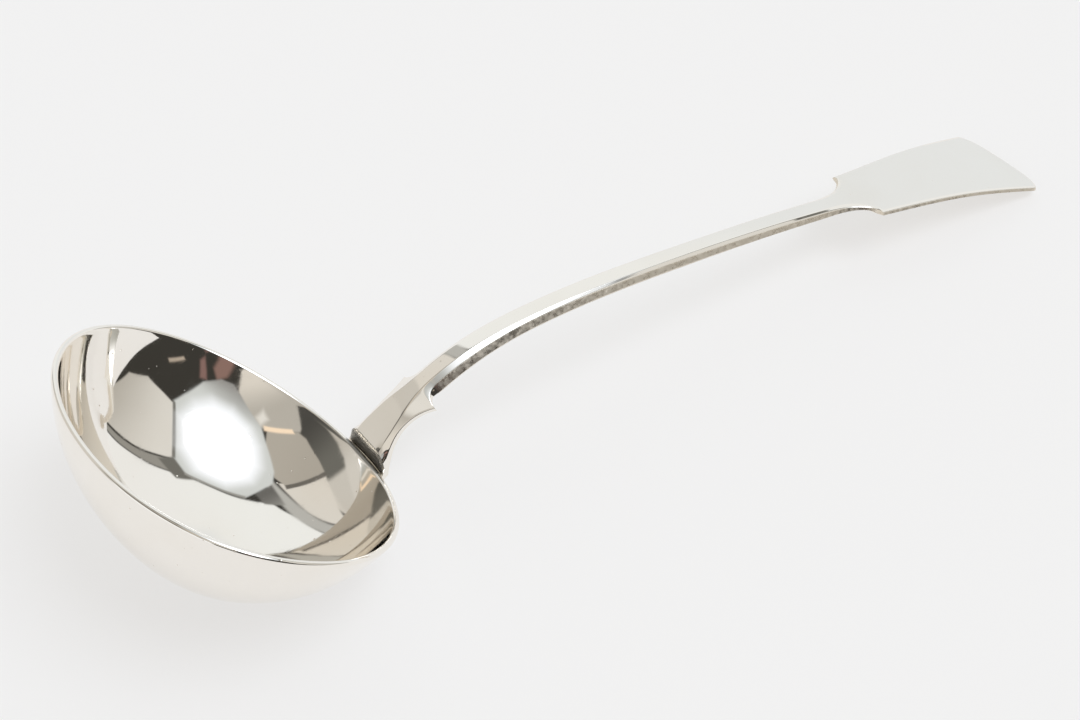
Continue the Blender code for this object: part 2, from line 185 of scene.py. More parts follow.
def free_skin(turn, dip):
    """Outside of the bowl before it is set on the table; dip runs from the rim to the bottom."""
    turn, dip = np.broadcast_arrays(turn, dip)
    share = np.cos(dip) / math.cos(FLARE_ANGLE)
    depth = np.sin(dip) * (1.0 + BOWL_FLARE) - BOWL_FLARE
    side = 0.5 - 0.5 * np.cos(2.0 * turn)
    along = RIM_HALF_LENGTH * np.cos(turn) - RIM_SIDE_SET * side
    along = share * along + (1.0 - share) * BOWL_BOTTOM_SET
    across = share * RIM_HALF_WIDTH * np.sin(turn)
    upright = (1.0 - depth) * RIM_SIDE_RISE * side - depth * BOWL_DEPTH
    return spread(along) * ALONG + spread(across) * ACROSS + spread(upright) * UPRIGHT


def skin_axes(turn, dip):
    """Directions on the skin: up the wall, and outwards from it."""
    step = 1.0e-4
    dip = np.minimum(dip, QUARTER - 2.0 * step)
    up = unit(free_skin(turn, dip - step) - free_skin(turn, dip + step))
    around = unit(free_skin(turn + step, dip) - free_skin(turn - step, dip))
    return up, unit(np.cross(around, up))


def place_of_bowl():
    """Shift that puts the skin's outermost and lowest points where the solid bowl has them."""
    turn = np.linspace(0.0, 2.0 * math.pi, PLACE_STEPS + 1)[:, None]
    dip = np.linspace(FLARE_ANGLE, QUARTER, PLACE_STEPS + 1)[None, :]
    lowest = free_skin(turn, dip).min(axis=(0, 1))
    return np.array([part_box("bowl")[0].x - lowest[0], 0.0, -WEAR - lowest[2]])


BOWL_PLACE = place_of_bowl()


def skin(turn, dip):
    return free_skin(turn, dip) + BOWL_PLACE


RIM_FOOT = skin(0.0, FLARE_ANGLE)


def planished(points, out, size):
    """Moves points in and out as the marks of a planishing hammer do."""
    x, y, z = points[..., 0], points[..., 1], points[..., 2]
    wave = np.zeros_like(x)
    for number, (length, share) in enumerate(HAMMER_WAVES):
        angle = number * GOLDEN_ANGLE
        lie = math.cos(angle) * x + math.sin(angle) * y + math.sin(2.0 * angle) * z
        wave += share * np.sin(2.0 * math.pi * lie / length + number)
    return points + out * spread(size * wave)


def bowl_mesh():
    """Meridians up the outside, over the rounded lip and down the inside, with a point at each end."""
    turn = np.linspace(0.0, 2.0 * math.pi, BOWL_TURNS, endpoint=False)[:, None]
    dip = np.linspace(QUARTER, FLARE_ANGLE, BOWL_RINGS + 1)[None, 1:]
    up, out = skin_axes(turn, dip)
    outside = planished(skin(turn, dip), out, HAMMER_OUTSIDE * np.ones_like(dip * turn))
    outside[..., 2] = np.maximum(outside[..., 2], 0.0)
    inside = planished(skin(turn, dip) - out * WALL, out, HAMMER_INSIDE * np.ones_like(dip * turn))
    arc = spread(np.linspace(0.0, math.pi, LIP_STEPS + 1)[None, 1:-1] + 0.0 * turn)
    middle = (outside[:, -1] + inside[:, -1])[:, None] / 2.0
    lip = middle + (out[:, -1:] * np.cos(arc) + up[:, -1:] * np.sin(arc)) * WALL / 2.0
    rows = np.concatenate((outside, lip, inside[:, ::-1]), axis=1)
    count = rows.shape[1]
    under = np.maximum(skin(0.0, QUARTER), (-1.0, -1.0, 0.0))
    over = skin(0.0, QUARTER) + UPRIGHT * WALL
    points = np.concatenate((rows.reshape(-1, 3), [under, over]))
    here = np.arange(BOWL_TURNS) * count
    there = np.roll(here, -1)
    faces = []
    for row in range(count - 1):
        faces += np.stack((here + row, there + row, there + row + 1, here + row + 1), axis=1).tolist()
    faces += np.stack((np.full(BOWL_TURNS, len(points) - 2), there, here), axis=1).tolist()
    last = count - 1
    faces += np.stack((np.full(BOWL_TURNS, len(points) - 1), here + last, there + last), axis=1).tolist()
    return points, faces


def smooth(place, places, sizes):
    """Passes through the sizes at their places, easing in and out of each without overshoot."""
    places = np.asarray(places)
    sizes = np.asarray(sizes)
    rises = np.diff(sizes) / np.diff(places)
    slopes = np.zeros(len(places))
    for i in range(1, len(places) - 1):
        if rises[i - 1] * rises[i] > 0.0:
            slopes[i] = 2.0 * rises[i - 1] * rises[i] / (rises[i - 1] + rises[i])
    place = min(max(place, places[0]), places[-1])
    i = int(np.clip(np.searchsorted(places, place) - 1, 0, len(places) - 2))
    gap = places[i + 1] - places[i]
    t = (place - places[i]) / gap
    start = (1.0 + 2.0 * t) * (1.0 - t) ** 2 * sizes[i] + t * (1.0 - t) ** 2 * gap * slopes[i]
    end = t * t * (3.0 - 2.0 * t) * sizes[i + 1] + t * t * (t - 1.0) * gap * slopes[i + 1]
    return float(start + end)


def spline(knots, values):
    """Natural cubic spline through the knots; gives height and slope."""
    knots = np.array(knots)
    values = np.array(values)
    gaps = np.diff(knots)
    rises = np.diff(values) / gaps
    size = len(knots)
    matrix = np.eye(size)
    right = np.zeros(size)
    for i in range(1, size - 1):
        matrix[i, i - 1:i + 2] = (gaps[i - 1], 2.0 * (gaps[i - 1] + gaps[i]), gaps[i])
        right[i] = 6.0 * (rises[i] - rises[i - 1])
    bend = np.linalg.solve(matrix, right)

    def at(reach):
        i = int(np.clip(np.searchsorted(knots, reach) - 1, 0, size - 2))
        gap = gaps[i]
        left = knots[i + 1] - reach
        ahead = reach - knots[i]
        first = values[i] / gap - bend[i] * gap / 6.0
        second = values[i + 1] / gap - bend[i + 1] * gap / 6.0
        curve = (bend[i] * left ** 3 + bend[i + 1] * ahead ** 3) / (6.0 * gap)
        slope = (bend[i + 1] * ahead ** 2 - bend[i] * left ** 2) / (2.0 * gap) - first + second
        return curve + first * left + second * ahead, slope

    return at


def between(start, end, shares):
    """A knot part of the way from one knot to another."""
    return tuple(a + (b - a) * share for a, b, share in zip(start, end, shares))


def top_line():
    """Top line of the handle from the rim to its end, as seen from the side."""
    fin = (FIN_REACH, FIN_HEIGHT)
    crown = (CROWN_REACH, CROWN_HEIGHT)
    shoulder = (SHOULDER_REACH, SHOULDER_HEIGHT)
    tip = (TIP_REACH, TIP_HEIGHT)
    knots = [
        (FRONT_REACH, RIM_FOOT[2] + FRONT_RISE),
        (KNEE_REACH, RIM_FOOT[2] + KNEE_RISE),
        (WAIST_REACH, WAIST_HEIGHT),
        fin,
        between(fin, crown, RISE_BEND),
        crown,
        between(crown, shoulder, FALL_BEND),
        between(crown, shoulder, LOW_FALL_BEND),
        shoulder,
        between(shoulder, tip, END_BEND),
        tip,
    ]
    return spline([knot[0] for knot in knots], [knot[1] for knot in knots])


def quarter_round(share):
    """Rises from 0 to 1 along a quarter circle, flat at first and steep at the last."""
    return 1.0 - np.sqrt(np.maximum(0.0, 1.0 - share * share))


def half_width(reach):
    """Plan of the handle: foot, waist, fins, notch, stem, neck, shoulders and arched end."""
    if reach <= WAIST_REACH:
        share = (WAIST_REACH - reach) / (WAIST_REACH - FRONT_REACH)
        return WAIST_HALF + (FOOT_HALF - WAIST_HALF) * share ** SWELL_POWER
    if reach <= FIN_REACH:
        share = (reach - WAIST_REACH) / (FIN_REACH - WAIST_REACH)
        return WAIST_HALF + (FIN_HALF - WAIST_HALF) * share ** SWELL_POWER
    if reach <= NOTCH_END:
        share = (NOTCH_END - reach) / NOTCH_LENGTH
        return LOW_STEM_HALF + (FIN_HALF - LOW_STEM_HALF) * quarter_round(share)
    if reach <= NECK_REACH:
        places = (NOTCH_END, CROWN_REACH, STEM_MIDDLE, NECK_REACH)
        return smooth(reach, places, (LOW_STEM_HALF, STEM_HALF, STEM_HALF, NECK_HALF))
    if reach <= SHOULDER_REACH:
        share = (reach - NECK_REACH) / (SHOULDER_REACH - NECK_REACH)
        return NECK_HALF + (SHOULDER_HALF - NECK_HALF) * quarter_round(share ** (SHOULDER_POWER / 2.0))
    if reach <= CORNER_REACH:
        share = (reach - SHOULDER_REACH) / (CORNER_REACH - SHOULDER_REACH)
        return SHOULDER_HALF + (END_HALF - SHOULDER_HALF) * share ** END_FLARE_POWER
    share = (reach - CORNER_REACH) / END_ARC
    return END_HALF * (1.0 - share ** SWELL_POWER) ** END_ROUND_POWER


def flat_half(reach, half):
    """Half width of the flat between the bevels; over the end the flat fills the outline."""
    flat = smooth(reach, FLAT_PLACES, FLAT_HALVES)
    blend = smooth(reach, (NECK_REACH, SHOULDER_REACH), (0.0, 1.0))
    over_end = max(half - END_BEVEL, END_FLAT_SHARE * half)
    return flat * (1.0 - blend) + over_end * blend


def rounded_corner(before, corner, after, size):
    """Points round a corner of the section, from one straight side to the next."""
    start = corner + unit(before - corner) * min(size, ROUND_SHARE * np.linalg.norm(before - corner))
    end = corner + unit(after - corner) * min(size, ROUND_SHARE * np.linalg.norm(after - corner))
    t = spread(np.linspace(0.0, 1.0, CORNER_STEPS))
    return (1.0 - t) ** 2 * start + 2.0 * t * (1.0 - t) * corner + t * t * end


def straight(start, end, steps):
    """Points strictly between two others."""
    return start + (end - start) * spread(np.linspace(0.0, 1.0, steps + 2)[1:-1])


def upper_profile(half, flat, fall, edge, lean=0.0):
    """One side of a section from the middle of the top to the foot of the wall: across and down."""
    middle = np.array((0.0, 0.0))
    ridge = np.array((flat, 0.0))
    brow = np.array((half, fall))
    foot = np.array((half + lean, fall + edge))
    first = rounded_corner(middle, ridge, brow, RIDGE_ROUND)
    second = rounded_corner(ridge, brow, foot, EDGE_ROUND)
    parts = ([middle], straight(middle, first[0], FLAT_STEPS), first,
             straight(first[-1], second[0], BEVEL_STEPS), second,
             straight(second[-1], foot, WALL_STEPS), [foot])
    points = np.concatenate(parts)
    points[:, 1] += FLAT_CROWN * np.clip(points[:, 0] / flat, 0.0, 1.0) ** 2
    return points


def ring(upper, lower):
    """Closed ring of a section from those of its near half, mirrored to the far half."""
    near = np.concatenate((upper, lower))
    far = near[-2:0:-1] * (1.0, -1.0, 1.0)
    return np.concatenate((near, far))


BELLY_ANGLES = np.linspace(0.0, QUARTER, BELLY_STEPS + 1)[1:]


def stem_ring(reach, line):
    """Section of the handle; at the front of the foot its top is an upright arch."""
    height, slope = line(reach)
    out = unit(np.array((-slope, 0.0, 1.0)))
    lean = smooth(reach, (FRONT_REACH, WAIST_REACH), (0.0, 1.0))
    sink = unit(np.array((-slope * lean, 0.0, 1.0)))
    middle = np.array((RIM_FOOT[0] + reach, 0.0, height))
    half = half_width(reach)
    flat = flat_half(reach, half)
    fall = smooth(reach, SLOPE_PLACES, SLOPES) * (half - flat)
    edge = smooth(reach, EDGE_PLACES, EDGES)
    side_lean = smooth(reach, EDGE_PLACES, LEANS)
    roundness = smooth(reach, EDGE_PLACES, BELLIES)
    belly = max(0.0, smooth(reach, DEEP_PLACES, DEPTHS) - fall - edge)
    profile = upper_profile(half, flat, fall, edge, side_lean)
    flatness = smooth(reach, (FRONT_REACH, KNEE_REACH), (0.0, 1.0))
    aside = np.clip((profile[:, 0] / half - ARCH_FLAT) / (1.0 - ARCH_FLAT), 0.0, 1.0)
    arch = fall * quarter_round(aside)
    drop = np.minimum(profile[:, 1], fall)
    wall = np.maximum(profile[:, 1] - fall, 0.0)
    drop = drop * flatness + arch * (1.0 - flatness)
    upper = middle - spread(drop) * sink - spread(wall) * out + spread(profile[:, 0]) * ACROSS
    across = (half + side_lean) * np.cos(BELLY_ANGLES)
    depth = edge + belly * np.sin(BELLY_ANGLES) ** (2.0 * roundness)
    lower = middle - sink * fall - spread(depth) * out + spread(across) * ACROSS
    return ring(upper, lower)


DROP_DIPS = np.linspace(FLARE_ANGLE, QUARTER, WALK_STEPS + 1)
DROP_STEPS = np.linalg.norm(np.diff(free_skin(0.0, DROP_DIPS), axis=0), axis=1)
DROP_WALK = np.concatenate(([0.0], np.cumsum(DROP_STEPS)))


def back_place(across, walk):
    """Turn and dip on the back of the bowl, from distances across and down from the rim."""
    dip = np.interp(walk, DROP_WALK, DROP_DIPS)
    radius = RIM_HALF_WIDTH * np.cos(dip) / math.cos(FLARE_ANGLE)
    return np.arcsin(across / radius), dip


def drop_half(walk):
    """Outline of the tongue that laps the back of the bowl."""
    share = np.minimum(1.0, walk / DROP_LENGTH)
    return FOOT_HALF * (1.0 - share ** DROP_TAPER) ** DROP_ROUND


def drop_ring(walk, rise=0.0):
    """Section of the tongue, its inner face drawn up to the bowl."""
    half = max(drop_half(walk), DROP_TIP_HALF)
    thick = float(np.interp(walk, (0.0, DROP_LENGTH), (DROP_THICKNESS, DROP_TIP_THICKNESS)))
    edge = thick * (1.0 - DROP_EDGE_LOSS)
    profile = upper_profile(half, DROP_FLAT_SHARE * half, 0.0, edge)
    under = half * np.cos(BELLY_ANGLES)
    across = np.concatenate((profile[:, 0], under))
    lift = np.concatenate((np.maximum(profile[:, 1] - FLAT_CROWN, 0.0),
                           thick * (1.0 - DROP_EDGE_LOSS * (under / half) ** DROP_EDGE_POWER)))
    turn, dip = back_place(across, walk)
    up, out = skin_axes(turn, dip)
    points = skin(turn, dip) + out * spread(FIT_GAP + lift) + up * rise
    return ring(points[:len(profile)], points[len(profile):])


def handle_reaches():
    """Where sections are taken: close together wherever the outline turns."""
    fin = np.sin(np.linspace(0.0, QUARTER, FIN_ROWS))
    notch = 1.0 - np.cos(np.linspace(0.0, QUARTER, NOTCH_ROWS))
    neck = np.sin(np.linspace(0.0, QUARTER, NECK_ROWS))
    arc = np.sin(np.linspace(0.0, ARC_STOP * QUARTER, ARC_ROWS))
    spans = [
        np.linspace(FRONT_REACH, WAIST_REACH, FOOT_ROWS),
        WAIST_REACH + (FIN_REACH - WAIST_REACH) * fin[1:],
        FIN_REACH + NOTCH_LENGTH * notch[1:],
        np.linspace(NOTCH_END, NECK_REACH, STEM_ROWS)[1:],
        NECK_REACH + (SHOULDER_REACH - NECK_REACH) * neck[1:],
        np.linspace(SHOULDER_REACH, CORNER_REACH, END_ROWS)[1:],
        CORNER_REACH + END_ARC * arc[1:],
    ]
    return np.concatenate(spans)


def loft(rings):
    """Closed skin over rings of as many points each, with a face over each end."""
    count = len(rings[0])
    points = np.concatenate(rings)
    i = np.arange(count)
    ahead = (i + 1) % count
    faces = []
    for row in range(len(rings) - 1):
        here = row * count
        there = here + count
        faces += np.stack((here + i, here + ahead, there + ahead, there + i), axis=1).tolist()
    faces.append(list(range(count)))
    faces.append([len(points) - 1 - k for k in range(count)])
    return points, faces


def handle_mesh():
    """The handle as one skin: tongue, foot, fins, stem and end share the same ring."""
    line = top_line()
    walks = DROP_LENGTH * np.sin(np.linspace(QUARTER, 0.0, DROP_ROWS))
    rings = [drop_ring(walk) for walk in walks]
    rings += [drop_ring(0.0, rise) for rise in np.linspace(0.0, WALL / 2.0, RISE_ROWS + 1)[1:]]
    front = stem_ring(FRONT_REACH, line)
    rings += [rings[-1] * (1.0 - t) + front * t for t in np.linspace(0.0, 1.0, FRONT_ROWS)[1:-1]]
    rings += [stem_ring(reach, line) for reach in handle_reaches()]
    return loft(rings)


def solder_mesh():
    """Hollow fillet of hard solder from the edge of the tongue out on to the bowl."""
    angle = np.linspace(SOLDER_START, math.pi - SOLDER_START, SOLDER_ROWS)
    walk = DROP_LENGTH * np.sin(angle)
    across = np.where(angle < QUARTER, 1.0, -1.0) * drop_half(walk)
    step = np.gradient(np.stack((across, walk), axis=1), axis=0)
    side = unit(np.stack((step[:, 1], -step[:, 0]), axis=1))
    hollow = np.linspace(0.0, QUARTER, SOLDER_STEPS)
    corners = [(1.0 - math.sin(a), 1.0 - math.cos(a)) for a in hollow]
    corners += [(-SOLDER_ROOT, 1.0), (-SOLDER_ROOT, 0.0)]
    columns = []
    for away, lift in corners:
        turn, dip = back_place(across + side[:, 0] * away * SOLDER_LEG,
                               np.maximum(0.0, walk + side[:, 1] * away * SOLDER_LEG))
        columns.append(skin(turn, dip) + skin_axes(turn, dip)[1] * (lift * SOLDER_LEG))
    return loft(list(np.stack(columns, axis=1)))


def piece(name, parts, node, material, crisp):
    """A named mesh that stands for a solid node, smooth but for its crisp edges."""
    points, faces = parts
    mesh = bpy.data.meshes.new(name)
    mesh.from_pydata([Vector(point) for point in points], [], faces)
    work = bmesh.new()
    work.from_mesh(mesh)
    bmesh.ops.remove_doubles(work, verts=work.verts, dist=WELD)
    bmesh.ops.recalc_face_normals(work, faces=work.faces)
    work.to_mesh(mesh)
    work.free()
    mesh.shade_smooth()
    mesh.set_sharp_from_angle(angle=crisp)
    mesh.materials.append(material)
    made = bpy.data.objects.new(name, mesh)
    bpy.context.collection.objects.link(made)
    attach(made, "root")
    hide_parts(node)


# Silver: polished tint, and the warmer tint where polish leaves old tarnish in clouds; the same warm tint is
# also painted on the stem's sides as shade
SILVER = (0.93, 0.895, 0.84)
TARNISH_AND_SIDE_SHADE = (0.78, 0.70, 0.58)
POLISH = 0.035
HAZE = 0.05
HAZE_RANGE = (0.3, 0.75)
STAIN_RANGE = (0.4, 0.8)
CLOUDS_PER_METRE = 35.0
FINE_CLOUDS_PER_METRE = 280.0
RIPPLES_PER_METRE = 160.0
RIPPLE_DEPTH = 0.004 * MM

# The unpolished front of the foot, in offsets from the foot's front, the rim and the foot's sides
JOINT_TARNISH = (0.3, 0.29, 0.27)
JOINT_ROUGHNESS = 0.3
JOINT_EDGE = 0.25 * MM
JOINT_RISE = (1.0 * MM, 1.4 * MM)
JOINT_SIDE = 1.0 * MM
JOINT_BACK = (1.5 * MM, 1.0 * MM)

# Dull sides of the stem, partly real tarnish and partly painted shade: how far the metal faces up where they
# begin, and where along the handle
SIDE_TARNISH_AND_SHADE = 0.85
SIDE_POLISH = 0.2
SIDE_HAZE = 0.42
SIDE_RANGE = (0.3, 0.7)
SIDE_CLOUDS_PER_METRE = 700.0
SIDE_FACING = (0.7, 0.62)
SIDE_START = (-1.0 * MM, 3.0 * MM)

# Pits, and hairline scratches with their fineness, angle and offset
PITS_PER_METRE = 420.0
PIT_SIZE = 0.16
PIT_CORE = 0.3
PIT_SHARE = 0.4
PIT_STAIN = 0.7
PIT_ROUGHNESS = 0.45
PIT_DEPTH = 0.02 * MM
HAIRLINES = ((900.0, 20.0, 0.35), (1300.0, -50.0, 1.1), (1100.0, 75.0, 2.2))
HAIRLINE_TIP = 0.3
HAIRLINE_STRETCH = 0.03
HAIRLINE_WIDTH = 0.012
HAIRLINE_DETAIL = 2.0
HAIRLINE_DEPTH = 0.0006 * MM
HAIRLINE_ROUGHNESS = 0.12
WORN_PER_METRE = 90.0
WORN_RANGE = (0.45, 0.7)


def node(tree, kind, inputs=(), **settings):
    """Adds a node: its settings by name and its inputs in order, each a number, a socket or None."""
    made = tree.nodes.new(kind)
    for name, value in settings.items():
        setattr(made, name, value)
    for socket, value in zip(made.inputs, inputs):
        if isinstance(value, bpy.types.NodeSocket):
            tree.links.new(value, socket)
        elif value is not None:
            socket.default_value = value
    return made.outputs


def calculate(tree, operation, *values):
    return node(tree, "ShaderNodeMath", values, operation=operation)[0]


def fade(tree, value, start, end, first=0.0, last=1.0):
    """Goes smoothly from the first number to the last as the value goes from start to end."""
    ends = (value, start, end, first, last)
    return node(tree, "ShaderNodeMapRange", ends, interpolation_type="SMOOTHSTEP")[0]


def blend(tree, share, below, above):
    """Mixes two colours, which the node takes after its inputs for numbers and vectors."""
    inputs = (share, None, None, None, None, None, below, above)
    return node(tree, "ShaderNodeMix", inputs, data_type="RGBA")[2]


def opaque(colour):
    return (*colour, 1.0)


def clouds(tree, place, per_metre, detail=4.0):
    return node(tree, "ShaderNodeTexNoise", (place, None, per_metre, detail))[0]


def pits(tree, place):
    """Small round pits: one in some of the cells of a scatter of points."""
    cells = node(tree, "ShaderNodeTexVoronoi", (place, None, PITS_PER_METRE))
    chance = node(tree, "ShaderNodeSeparateColor", (cells["Color"],))
    size = calculate(tree, "MULTIPLY", chance["Red"], PIT_SIZE)
    depth = fade(tree, calculate(tree, "DIVIDE", cells["Distance"], size), 1.0, PIT_CORE)
    chosen = calculate(tree, "LESS_THAN", chance["Green"], PIT_SHARE)
    return calculate(tree, "MULTIPLY", depth, chosen)


def hairlines(tree, place):
    """Polishing scratches: thin contour lines of noise drawn out along a few directions."""
    marks = None
    for per_metre, angle, lift in HAIRLINES:
        turn = (HAIRLINE_TIP, lift, math.radians(angle))
        stretch = (HAIRLINE_STRETCH, 1.0, 1.0)
        turned = node(tree, "ShaderNodeMapping", (place, (lift, lift, lift), turn, stretch))[0]
        wave = clouds(tree, turned, per_metre, HAIRLINE_DETAIL)
        away = calculate(tree, "ABSOLUTE", calculate(tree, "SUBTRACT", wave, 0.5))
        line = fade(tree, away, HAIRLINE_WIDTH, 0.0)
        marks = line if marks is None else calculate(tree, "MAXIMUM", marks, line)
    worn = fade(tree, clouds(tree, place, WORN_PER_METRE), *WORN_RANGE)
    return calculate(tree, "MULTIPLY", marks, worn)


def joint(tree, place):
    """Where polish doesn't reach: the low front wall of the foot over the rim."""
    parts = node(tree, "ShaderNodeSeparateXYZ", (place,))
    rim, rim_height = RIM_FOOT[0], RIM_FOOT[2]
    front = rim + FRONT_REACH
    near = fade(tree, parts["X"], front + JOINT_EDGE, front)
    above = fade(tree, parts["Z"], rim_height + JOINT_RISE[0], rim_height + JOINT_RISE[1])
    aside = fade(tree, calculate(tree, "ABSOLUTE", parts["Y"]), FOOT_HALF, FOOT_HALF - JOINT_SIDE)
    behind = fade(tree, parts["X"], rim - JOINT_BACK[0], rim - JOINT_BACK[1])
    tall = calculate(tree, "MULTIPLY", calculate(tree, "MULTIPLY", near, above), behind)
    return calculate(tree, "MULTIPLY", tall, aside)


def dull_and_shaded_sides(tree, place):
    """Sides and underside of the stem and end, which a polishing cloth reaches less than the top, and where
    a darker tarnish tint is painted as shade.
    """
    facing = node(tree, "ShaderNodeSeparateXYZ", (node(tree, "ShaderNodeTexCoord")["Normal"],))["Z"]
    aside = fade(tree, facing, *SIDE_FACING)
    along = node(tree, "ShaderNodeSeparateXYZ", (place,))["X"]
    start = RIM_FOOT[0] + NOTCH_END
    begun = fade(tree, along, start + SIDE_START[0], start + SIDE_START[1])
    return calculate(tree, "MULTIPLY", aside, begun)


def silver(name, tarnish_share, pit_strength):
    """Polished silver with faint clouds of tarnish, hairline scratches and small pits."""
    material = bpy.data.materials.new(name)
    material.use_nodes = True
    tree = material.node_tree
    shader = tree.nodes["Principled BSDF"]
    place = node(tree, "ShaderNodeTexCoord")["Object"]
    cloud = clouds(tree, place, CLOUDS_PER_METRE)
    pit = calculate(tree, "MULTIPLY", pits(tree, place), pit_strength)
    scratch = hairlines(tree, place)
    stain_and_shade = fade(tree, cloud, *STAIN_RANGE, 0.0, tarnish_share)
    stain_and_shade = calculate(tree, "MAXIMUM", stain_and_shade, calculate(tree, "MULTIPLY", pit, PIT_STAIN))
    # Sides facing away from up get the tarnish tint: partly real tarnish, partly painted shade standing in
    # for the dark room they mirror
    side_dull_and_shade = dull_and_shaded_sides(tree, place)
    stain_and_shade = calculate(tree, "MAXIMUM", stain_and_shade, calculate(tree, "MULTIPLY", side_dull_and_shade, SIDE_TARNISH_AND_SHADE))
    tint = blend(tree, stain_and_shade, opaque(SILVER), opaque(TARNISH_AND_SIDE_SHADE))
    unpolished = joint(tree, place)
    tint = blend(tree, unpolished, tint, opaque(JOINT_TARNISH))
    fine = clouds(tree, place, FINE_CLOUDS_PER_METRE)
    rough = fade(tree, fine, *HAZE_RANGE, POLISH, HAZE)
    rubbed = clouds(tree, place, SIDE_CLOUDS_PER_METRE)
    rubbed = fade(tree, rubbed, *SIDE_RANGE, SIDE_POLISH, SIDE_HAZE)
    rough = calculate(tree, "ADD", rough, calculate(tree, "MULTIPLY", side_dull_and_shade, rubbed))
    rough = calculate(tree, "ADD", rough, calculate(tree, "MULTIPLY", unpolished, JOINT_ROUGHNESS))
    rough = calculate(tree, "ADD", rough, calculate(tree, "MULTIPLY", scratch, HAIRLINE_ROUGHNESS))
    rough = calculate(tree, "ADD", rough, calculate(tree, "MULTIPLY", pit, PIT_ROUGHNESS))
    ripple = clouds(tree, place, RIPPLES_PER_METRE, 1.0)
    ripple = calculate(tree, "MULTIPLY", ripple, RIPPLE_DEPTH / MM)
    scored = calculate(tree, "MULTIPLY", scratch, -HAIRLINE_DEPTH / MM)
    sunk = calculate(tree, "MULTIPLY", pit, -PIT_DEPTH / MM)
    height = calculate(tree, "ADD", calculate(tree, "ADD", ripple, scored), sunk)
    bump = node(tree, "ShaderNodeBump", (1.0, MM, None, height))[0]
    shader.inputs["Metallic"].default_value = 1.0
    tree.links.new(tint, shader.inputs["Base Color"])
    tree.links.new(rough, shader.inputs["Roughness"])
    tree.links.new(bump, shader.inputs["Normal"])
    return material


bowl_silver = silver("bowl_silver", tarnish_share=0.18, pit_strength=1.0)
handle_silver = silver("handle_silver", tarnish_share=0.15, pit_strength=0.8)
solder_silver = silver("solder_silver", tarnish_share=0.5, pit_strength=1.0)
piece("bowl_shell", bowl_mesh(), "bowl", bowl_silver, BOWL_CRISP)
piece("handle_forging", handle_mesh(), "handle", handle_silver, HANDLE_CRISP)
piece("solder_seam", solder_mesh(), "solder_fillet", solder_silver, SOLDER_CRISP)

# Camera, from the fit to the photograph
LENS = 58.59
SENSOR_WIDTH = 36.0
NEAREST = 10.0 * MM
CAMERA_AIM = Vector((-28.91, 0.0, 15.5)) * MM
CAMERA_DISTANCE = 506.9 * MM
CAMERA_AZIMUTH = math.radians(-35.8)
CAMERA_ELEVATION = math.radians(43.02)


def place_camera():
    back = Vector((math.sin(CAMERA_AZIMUTH) * math.cos(CAMERA_ELEVATION),
                   -math.cos(CAMERA_AZIMUTH) * math.cos(CAMERA_ELEVATION),
                   math.sin(CAMERA_ELEVATION)))
    data = bpy.data.cameras.new("camera")
    data.lens = LENS
    data.sensor_width = SENSOR_WIDTH
    data.clip_start = NEAREST
    camera = bpy.data.objects.new("camera", data)
    bpy.context.collection.objects.link(camera)
    camera.location = CAMERA_AIM + back * CAMERA_DISTANCE
    camera.rotation_euler = (-back).to_track_quat("-Z", "Y").to_euler()
    bpy.context.scene.camera = camera


# White table: its size in metres, its two whites, and the share of its own white that it shows
TABLE_HALF = 40.0
TABLE_CLOUDS_PER_METRE = 6.0
TABLE_ROUGHNESS = 0.6
TABLE_GLOSS = 0.2
TABLE_WHITE = (0.9, 0.9, 0.9)
TABLE_SHADE = (0.88, 0.88, 0.88)
TABLE_GLOW = (0.9, 0.89, 0.88)
GLOW_SHARE = 0.7


def table():
    """Table that reaches as far as the sweep around it, and shows white enough that shadows stay faint."""
    mesh = bpy.data.meshes.new("table")
    corners = [(-TABLE_HALF, -TABLE_HALF, 0.0), (TABLE_HALF, -TABLE_HALF, 0.0),
               (TABLE_HALF, TABLE_HALF, 0.0), (-TABLE_HALF, TABLE_HALF, 0.0)]
    mesh.from_pydata(corners, [], [(0, 1, 2, 3)])
    material = bpy.data.materials.new("table")
    material.use_nodes = True
    tree = material.node_tree
    shader = tree.nodes["Principled BSDF"]
    cloud = clouds(tree, node(tree, "ShaderNodeTexCoord")["Object"], TABLE_CLOUDS_PER_METRE)
    white = blend(tree, cloud, opaque(TABLE_WHITE), opaque(TABLE_SHADE))
    tree.links.new(white, shader.inputs["Base Color"])
    shader.inputs["Roughness"].default_value = TABLE_ROUGHNESS
    shader.inputs["Specular IOR Level"].default_value = TABLE_GLOSS
    rays = node(tree, "ShaderNodeLightPath")
    seen = calculate(tree, "MAXIMUM", rays["Is Camera Ray"], rays["Is Glossy Ray"])
    seen = calculate(tree, "MAXIMUM", seen, rays["Is Transmission Ray"])
    share = calculate(tree, "MULTIPLY", seen, GLOW_SHARE)
    glow = node(tree, "ShaderNodeEmission", (opaque(TABLE_GLOW), 1.0))[0]
    mixed = node(tree, "ShaderNodeMixShader", (share, shader.outputs[0], glow))[0]
    tree.links.new(mixed, tree.nodes["Material Output"].inputs["Surface"])
    mesh.materials.append(material)
    made = bpy.data.objects.new("table", mesh)
    bpy.context.collection.objects.link(made)


